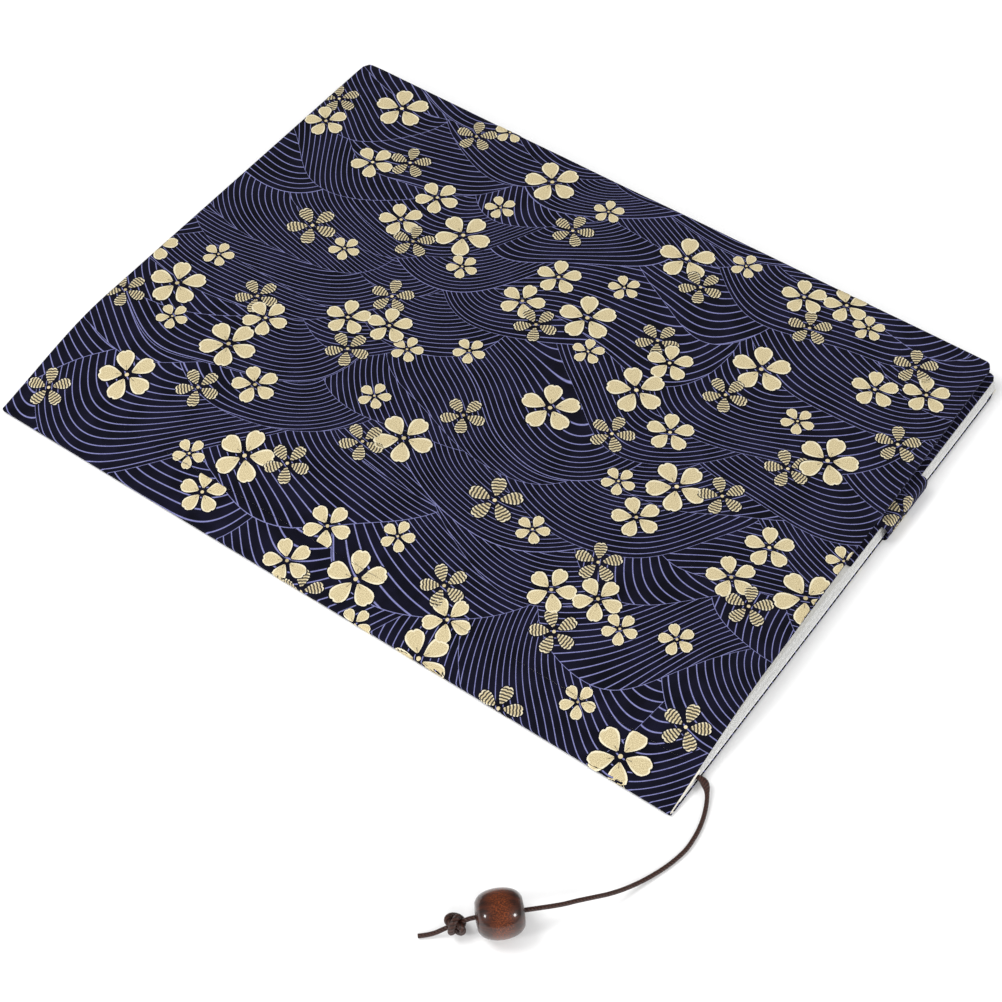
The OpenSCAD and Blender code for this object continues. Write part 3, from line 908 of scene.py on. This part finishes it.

# %% [markdown]
# ## The booklet's card cover and staples
# The booklet is stapled through its fold, so its white card runs round the leaves in one piece. It is
# made as two closed layers that meet inside the slope.

# %% Card cover
CARD, CARD_H, CARD_TAIL, CARD_TOP = 0.45, 210, 0.3, 7.6     # thickness, height, where it starts, its level part
card_back_path = ([(u, 0.65) for u in spaced(164.2, 5, 6)] + arc_points(4.4, 1.1, 0.45, 270, 105, 7)
                  + [(u, eased(u, slope_line(u, 0, CARD_TOP))) for u in (5.2, 6.4, 8, 10, MEET)])
card_front_path = ([(u, eased(u, slope_line(u, 0, CARD_TOP))) for u in spaced(MEET, 43, 1.8)]
                   + [(u, CARD_TOP) for u in spaced(46, 164.2, 6)])
for name, path, shifted, nodes in (("card_of_back", card_back_path, False, ("back_card", "spine_card")),
                                   ("card_of_front", card_front_path, True, ("front_card",))):
    sheet = Sheet()
    add_layer(sheet, ClothPath(path), 0.0, CARD, CARD_TAIL, CARD_H, shifted, corner=0.8)
    made = sheet.piece(name, [white_card.material], "card", *nodes)
    if shifted:
        bend_at_crease(made)
    else:
        bend_at_fold(made)
print("card cover made")

# %% Staples
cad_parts["staples"].data.materials.clear()
STAPLE_U, STAPLE_Z = 3.7, 1.1
sheet = Sheet()
for y in (-65.0, 65.0):
    legs = [(1.25, 5.9), (0.5, 5.9), (0.12, 5.8), (0.0, 5.4)]
    line = [(dx, -dy) for dx, dy in legs] + [(0.0, dy) for dy in (-4.5, 0, 4.5)] + legs[::-1]
    tube(sheet, [(SPINE_X + STAPLE_U + dx, y + dy, STAPLE_Z) for dx, dy in line], 0.25, sides=12)
staples = sheet.piece("staple_wires", [plated_wire.material], "staple_wire", "staples")
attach(staples, "back_half")
print("two staples made")

# %% [markdown]
# ## The leaves
# A thin log has about sixty leaves. Each block is built as a stack of thin bundles whose edges are not
# quite even, because that is what makes a page edge look like paper. The stack leans a little at the
# tail, as it does when a cover is pushed across it. A groove near the fold holds the bookmark.

# %% Leaf blocks
random.seed(7)
BUNDLES, GROOVE_U = 15, 12.0


def leaf_top(u, share):
    """Height of the back leaves, a share of the way up the block."""
    full = 4.25 if u >= 27 else 1.35 + (u - 5.6) * 2.9 / 21.4
    dip = 0.86 * math.exp(-((u - GROOVE_U) / 0.62) ** 2) * max(0.0, (share - 0.2) / 0.8)
    return eased(u, EASE_FROM + share * max(0.15, full - EASE_FROM - dip))


def turning_top(u, raised):
    """Height of the leaves that turn; away from the fold a bundle is raised onto the one below."""
    if u >= 27:
        full = 5.8
    else:
        full = 2.55 + (u - 11) * 3.25 / 16 if u >= 11 else 1.75 + (u - 5.8) * 0.8 / 5.2
    return eased(u, full + raised * smooth_step(5, 27, u))


sheet = Sheet()
block_u = [5.6, 6.5, 8, 9.6, 10.6, 11.2, 11.6, 12.0, 12.4, 12.8, 13.4, 14.4]
block_u += spaced(16, 43, 3) + spaced(48, 160, 8)
for k in range(BUNDLES):
    fore = 163.1 + random.uniform(-0.18, 0.1)
    lean = 0.42 + 0.82 * k / (BUNDLES - 1) + random.uniform(-0.13, 0.13)
    path = ClothPath([(u, leaf_top(u, (k + 1) / BUNDLES)) for u in block_u + [fore]])
    path.n = [np.array((0.0, 1.0))] * len(path.p)      # the depth of a bundle is measured straight down
    add_layer(sheet, path, 0.0, 2.95 / BUNDLES, lean, 209.7, cols=3, rim_slot=1)
leaves = sheet.piece("leaves_under_flap", PAPER, "paper", "back_leaves", smooth=False)
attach(leaves, "back_half")

sheet = Sheet()
turn_u = [5.8 + 0.15 * k for k in range(11)] + [7.6, 8.4, 9.4, 10.2, 11]      # close together where they bend
turn_u += spaced(12.5, 43, 2) + spaced(48, 162.8, 8)
for k in range(3):
    lean = 3.6 + 0.15 * k + random.uniform(-0.08, 0.08)
    path = ClothPath([(u, turning_top(u, 0.2 * k)) for u in turn_u])
    add_layer(sheet, path, 0.0, 0.17, lean, 209.0, cols=3, rim_slot=1)
turning = sheet.piece("leaves_that_turn", PAPER, "paper", "front_leaves", smooth=False)
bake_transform(turning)
print("leaf blocks made")

# %% [markdown]
# ## The belt
# A folded strip of the same cloth is caught in the head and tail hems of the back panel. It goes round the
# leaves and the flap and keeps both flat. It bulges out a little at each end, where it turns.

# %% Belt
BELT_U0, BELT_W = 100.5, 21.0
BELT_PRINT = 60       # where the belt was cut from the printed cloth
tail_turn = [(0.0, 0.2), (-0.5, 0.35), (-0.95, 0.75), (-1.15, 1.5), (-1.2, 2.6), (-1.15, 3.7), (-0.95, 4.45),
             (-0.5, 5.0), (0.2, 5.27)]
belt_path = ClothPath([(BACK_TAIL + y, z) for y, z in tail_turn] + [(y, 5.3) for y in spaced(-104, 104, 6)]
                      + [(BACK_TAIL + COVER_H - y, z) for y, z in reversed(tail_turn)])


def on_belt(s, w, lift=0.0):
    """Frame position on the belt, s mm along it and w mm across it."""
    (y, z), n = belt_path.at(s)
    edge = min(w, BELT_W - w)
    rise = lift - (0.0 if edge > 0.2 else 0.17 * (1 - max(0.0, edge) / 0.2) ** 2)
    return (SPINE_X + BELT_U0 + w, y + n[0] * rise, max(0.02, z + n[1] * rise))


def add_belt_blossom(sheet, w0, s0, kind):
    def lay(dw, ds, lift):
        w = min(BELT_W - 0.02, max(0.02, w0 + dw))
        s = min(belt_path.length - 0.05, max(0.05, s0 + ds))
        return on_belt(s, w, lift), (w + BELT_PRINT, s)

    lay_petals(sheet, kind, 0.7 + s0, 0.03, 0.06, lay, flip=False)


sheet = Sheet()
rim = [0, 0.06, 0.14, 0.24, 1, 3]
across = rim + spaced(5, BELT_W - 5, 3.5) + [BELT_W - w for w in reversed(rim)]
outer = [[on_belt(s, w) for w in across] for s in belt_path.s]
inner = [[on_belt(s, w, -0.34 if 0.1 < w < BELT_W - 0.1 else -0.17) for w in across] for s in belt_path.s]
belt_uv = [[(w + BELT_PRINT, s) for w in across] for s in belt_path.s]
sheet.grid(outer, belt_uv, LINES)
sheet.grid(inner, belt_uv, LINES, flip=True)
for end, flip in ((0, False), (-1, True)):
    sheet.grid([inner[end], outer[end]], [belt_uv[end]] * 2, LINES, flip=flip)
for w, s, kind in ((7, 4.5, "H"), (14, 22, "M"), (6, 40, "L"), (15, 58, "S"), (8, 77, "H"), (13, 100, "L"),
                   (5, 121, "M"), (15, 139, "H"), (8, 160, "L"), (15, 181, "S"), (7, 200, "M"), (14, 219, "H")):
    add_belt_blossom(sheet, w, s, kind)
belt = sheet.piece("printed_belt", CLOTH_FINISHES, "printed_cloth", "belt")
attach(belt, "back_half")
print("belt is", round(belt_path.length, 1), "mm long")

# %% [markdown]
# ## Stitches, tack and inner cord
# Rows of small slanted stitches hold the flap's hem, the belt's edges and the sleeve's hem. Each stitch is a
# short arched thread that dips into the cloth at both ends. The same cord that hangs out at the tail
# runs up the booklet and is sewn down at the head.

# %% Stitches
THREAD = [navy_thread.material]


def stitch(sheet, start, end, outward, r=0.14, rise=0.1):
    """One arched stitch between two points, standing off the cloth along outward."""
    a, b, n = (np.array(v, float) for v in (start, end, outward))
    tube(sheet, [a + (b - a) * t + n * (rise * math.sin(math.pi * t) - 0.06 * abs(2 * t - 1) ** 3)
                 for t in (0, 0.15, 0.35, 0.5, 0.65, 0.85, 1)], r, sides=7)


def stitched_row(name, nodes, u, z, up_or_down, y0, y1, body):
    sheet = Sheet()
    y = y0
    while y < y1 - 3:
        stitch(sheet, (SPINE_X + u - 0.12, y, z), (SPINE_X + u + 0.12, y + 2.6, z), (0, 0, up_or_down))
        y += 3.5
    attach(sheet.piece(name, THREAD, "thread", *nodes), body)


stitched_row("hem_stitches_of_flap", ["flap_stitches"], FLAP_EDGE + 2.5, 4.92, 1, -105, 104, "back_half")
stitched_row("hem_stitches_of_sleeve", ["sleeve_stitches"], SLEEVE_EDGE + 2.5, 6.48, -1, -103, 106, "front_cover")
stitched_row("belt_stitches_left", ["belt_stitches"], BELT_U0 + 1.8, 5.31, 1, -104, 103, "back_half")
stitched_row("belt_stitches_right", [], BELT_U0 + BELT_W - 1.8, 5.31, 1, -104, 103, "back_half")
sheet = Sheet()
for edge, outward in ((0.12, -1), (COVER_H - 0.12, 1)):
    for u in (SLEEVE_EDGE + 1 + 3 * k for k in range(20)):
        y = BACK_TAIL + front_shift(u) + edge
        stitch(sheet, (SPINE_X + u, y, 7.12), (SPINE_X + u + 1.3, y, 7.62), (0, outward, 0), r=0.11, rise=0.05)
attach(sheet.piece("sleeve_side_stitches", THREAD, "thread", "sleeve_seams"), "front_cover")

# %% Sleeve gusset, tack and inner cord
sheet = Sheet()
gusset_u = spaced(SLEEVE_EDGE + 0.6, 161, 4) + [162.5, 163.4, 164.1, 164.6]
for edge, inward in ((0.2, 1), (COVER_H - 0.2, -1)):
    rows = [[(SPINE_X + u, BACK_TAIL + front_shift(u) + edge + inward * corner_inset(u)
              - inward * 0.08 * math.sin(math.pi * (z - 6.9)), z) for u in gusset_u]
            for z in (6.9, 7.1, 7.375, 7.65, 7.9)]
    sheet.grid(rows, [[(x - SPINE_X, 8 * z) for x, y, z in row] for row in rows], PLAIN, flip=inward < 0)
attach(sheet.piece("sleeve_side_seam", CLOTH_FINISHES, "printed_cloth"), "front_cover")

WAX = [waxed_cord.material]
sheet = Sheet()
tube(sheet, [(SPINE_X + GROOVE_U, y, eased(GROOVE_U, 1.85)) for y in spaced(-107.9, 106.2, 3)], 0.5)
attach(sheet.piece("cord_between_leaves", WAX, "waxed_cord", "inner_cord"), "back_half")
sheet = Sheet()
for x in (-72.2 + 0.56 * k for k in range(7)):
    stitch(sheet, (x, 105.7, 0.75), (x + 0.3, 107.0, 0.75), (0, 0, 1), r=0.18, rise=1.5)
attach(sheet.piece("tack_threads", THREAD, "thread", "cord_tack"), "back_half")
print("stitches, seam, tack and inner cord made")

# %% [markdown]
# ## The bead and the knot
# The bead is turned on a lathe: a barrel with rounded rims and a drilled hole whose lips are broken.
# Its outline is spun about its own axis. The knot is a doubled overhand, so it is drawn as a cord
# that goes twice round itself, and the same tube helper gives it its thickness.

# %% Bead
BEAD_AT = Vector((-128.5, -92.0, 5.85))
AXIS = Vector((-math.sqrt(0.5), math.sqrt(0.5), 0.0))
BEAD_L, BEAD_R, BORE_R, BEAD_SIDES = 11.0, 5.85, 1.1, 56


def barrel(s):
    """The barrel's radius, s from -1 to 1 along the bead."""
    return BEAD_R * (1 - 0.24 * s * s - 0.1 * s ** 4 - 0.16 * abs(s) ** 10)


# from the hole's wall over its lip to the rim, as (radius, mm in from the end)
end_profile = [(BORE_R, 0.9), (BORE_R + 0.05, 0.35), (BORE_R + 0.35, 0.08), (BORE_R + 0.8, 0.0),
               (barrel(1) - 0.9, 0.01), (barrel(1) - 0.35, 0.1)]
half = (0.97, 0.93, 0.86, 0.76, 0.62, 0.45, 0.25)
outline = [(r, d - BEAD_L / 2) for r, d in end_profile]
outline += [(barrel(s), s * BEAD_L / 2) for s in [-s for s in half] + [0] + list(reversed(half))]
outline += [(r, BEAD_L / 2 - d) for r, d in reversed(end_profile)]
side = AXIS.cross(Vector((0, 0, 1))).normalized()
other = AXIS.cross(side)
turns = [2 * math.pi * k / BEAD_SIDES for k in range(BEAD_SIDES + 1)]
rings = [[tuple(BEAD_AT + AXIS * h + (side * math.cos(a) + other * math.sin(a)) * r) for a in turns]
         for r, h in outline]
uvs = [[(BEAD_R * a, h + BEAD_WAIST) for a in turns] for r, h in outline]
sheet = Sheet()
sheet.grid(rings + rings[:1], uvs + uvs[:1])
bead = sheet.piece("wooden_bead", [bead_wood.material], "bead_wood", "bead")
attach(bead, "bead")

# %% Knot
KNOT_AT = Vector((-135.4, -84.7, 3.4))
lie = Vector((-0.66, 0.66, -0.36)).normalized()
flat = lie.cross(Vector((0, 0, 1))).normalized()
rise = flat.cross(lie)
knot_line = []
for a in (2 * math.pi * k / 90 for k in range(91)):
    swing = 1.5 + 0.6 * math.cos(3 * a)
    knot_line.append(KNOT_AT + flat * (swing * math.cos(2 * a)) + rise * (swing * math.sin(2 * a) * 1.16)
                     + lie * (1.3 * math.sin(3 * a)))
sheet = Sheet()
tube(sheet, knot_line, 0.8, sides=12, closed_ends=False)
knot = sheet.piece("stopper_of_cord", WAX, "waxed_cord", "stopper_knot")
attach(knot, "bookmark")

bookmark = cord_sheet.piece("free_bookmark_cord", WAX, "waxed_cord", "bookmark_cord")
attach(bookmark, "bookmark")
print("bead, knot and cord made")

# %% [markdown]
# ## Floor and light
# A plain pale floor and soft lights, as in a small product studio: a broad one high on the left, a
# weaker one on the right, and two smaller ones either side of the viewer, which give the lacquered
# bead its twin glints. The two broad ones don't show in reflections, so the glints stay clean.

# %% Stage
paint = Finish("floor_paint", 0.6, on_piece=False, Roughness=0.9, Specular_IOR_Level=0.1)
paint.set(Base_Color=mix(paint.soft, (0.86, 0.86, 0.86, 1), (0.88, 0.88, 0.88, 1)))
floor_mesh = bpy.data.meshes.new("floor")
floor_mesh.from_pydata([(-4, -4, 0), (4, -4, 0), (4, 4, 0), (-4, 4, 0)], [], [(0, 1, 2, 3)])
floor_mesh.materials.append(paint.material)
floor = bpy.data.objects.new("floor", floor_mesh)
floor.location.z = -0.0001
bpy.context.scene.collection.objects.link(floor)


def soft_light(name, place_at, size, power, in_reflections):
    data = bpy.data.lights.new(name, "AREA")
    data.shape, data.size, data.energy = "DISK", size, power
    light = bpy.data.objects.new(name, data)
    light.location = place_at
    light.rotation_euler = (-Vector(place_at)).to_track_quat("-Z", "Y").to_euler()
    light.visible_glossy = in_reflections
    bpy.context.scene.collection.objects.link(light)


soft_light("key_light", (-0.35, 0.55, 1.1), 0.7, 8.5, False)
soft_light("fill_light", (-0.9, -0.7, 0.9), 0.7, 4.5, False)
beside_bead = Vector((-0.13, -0.09, 0))
for name, aside in (("left_glint", -0.75), ("right_glint", 0.75)):
    soft_light(name, beside_bead + (back * 0.66 + right * aside) * 0.9, 0.17, 2.4, True)
world = bpy.data.worlds.new("studio")
world.use_nodes = True
sky = world.node_tree
sky.nodes["Background"].inputs["Color"].default_value = (1, 1, 1, 1)
# the pale room lights the floor, but is dimmer in reflections, as a dark studio is
in_reflection = Wire(add(sky, "LightPath"), "Is Glossy Ray")
feed(sky.nodes["Background"].inputs["Strength"], ramp(in_reflection, 0.0, 1.0, 0.62, 0.14))
bpy.context.scene.world = world
bpy.context.scene.view_settings.view_transform = "Standard"
print("stage ready")
